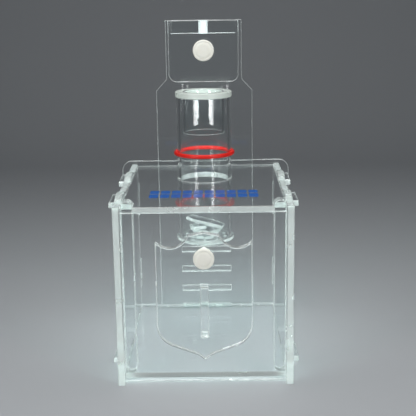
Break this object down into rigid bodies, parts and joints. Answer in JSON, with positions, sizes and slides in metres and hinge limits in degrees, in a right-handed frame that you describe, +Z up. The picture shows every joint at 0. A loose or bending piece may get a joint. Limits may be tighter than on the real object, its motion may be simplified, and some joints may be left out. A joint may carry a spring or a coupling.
{
  "type": "donation box",
  "caption": "Clear sheet box with tabbed sides, a coin slot behind a swinging shield, a sliding drop tube with a red ring, and a tall slotted backboard with a pocket.",
  "frame": {"origin": "centre of the bounding box on the surface that the box stands on", "axes": "+X to the box's right seen from the front, +Y to the back panel, +Z up"},
  "size_m": [0.17, 0.2068, 0.301],
  "materials": {
    "clear_acrylic_sheet": "laser-cut clear cast acrylic, polished faces, bright cut edges",
    "clear_acrylic_tube": "clear extruded acrylic tube",
    "clear_acrylic_disc": "clear acrylic disc with frosted rim",
    "acrylic_offcut": "clear acrylic offcuts with frosted cut faces",
    "white_nylon": "moulded off-white nylon",
    "red_rubber": "moulded red silicone rubber"
  },
  "bodies": {
    "box": {"left_side_panel": "clear_acrylic_sheet", "right_side_panel": "clear_acrylic_sheet", "top_panel": "clear_acrylic_sheet", "floor_panel": "clear_acrylic_sheet", "front_panel": "clear_acrylic_sheet", "back_panel": "clear_acrylic_sheet", "backboard": "clear_acrylic_sheet", "left_front_post": "clear_acrylic_sheet", "right_front_post": "clear_acrylic_sheet", "pocket_plate": "clear_acrylic_sheet", "socket_block": "clear_acrylic_sheet", "shield_button": "white_nylon", "shield_spacer": "white_nylon", "shield_nut": "white_nylon", "pocket_button": "white_nylon", "pocket_spacer": "white_nylon", "pocket_nut": "white_nylon"},
    "tube": {"drop_tube": "clear_acrylic_tube", "tube_base": "clear_acrylic_disc", "rubber_ring": "red_rubber", "long_chip": "acrylic_offcut", "broad_chip": "acrylic_offcut", "small_chip": "acrylic_offcut", "corner_chip": "acrylic_offcut"},
    "cap": {"tube_cap": "clear_acrylic_disc", "throat_sleeve": "clear_acrylic_tube"},
    "shield_plate": {"shield": "clear_acrylic_sheet"}
  },
  "joints": [
    {"name": "tube_slide", "type": "slide", "parent": "box", "child": "tube", "axis": [0, 0, 1], "range_m": [-0.022, 0.05]},
    {"name": "cap_lift", "type": "slide", "parent": "tube", "child": "cap", "axis": [0, 0, 1], "range_m": [0, 0.06]},
    {"name": "shield_swing", "type": "hinge", "parent": "box", "child": "shield_plate", "pos_m": [0, -0.096, 0.1155], "axis": [0, -1, 0], "continuous": true}
  ]
}
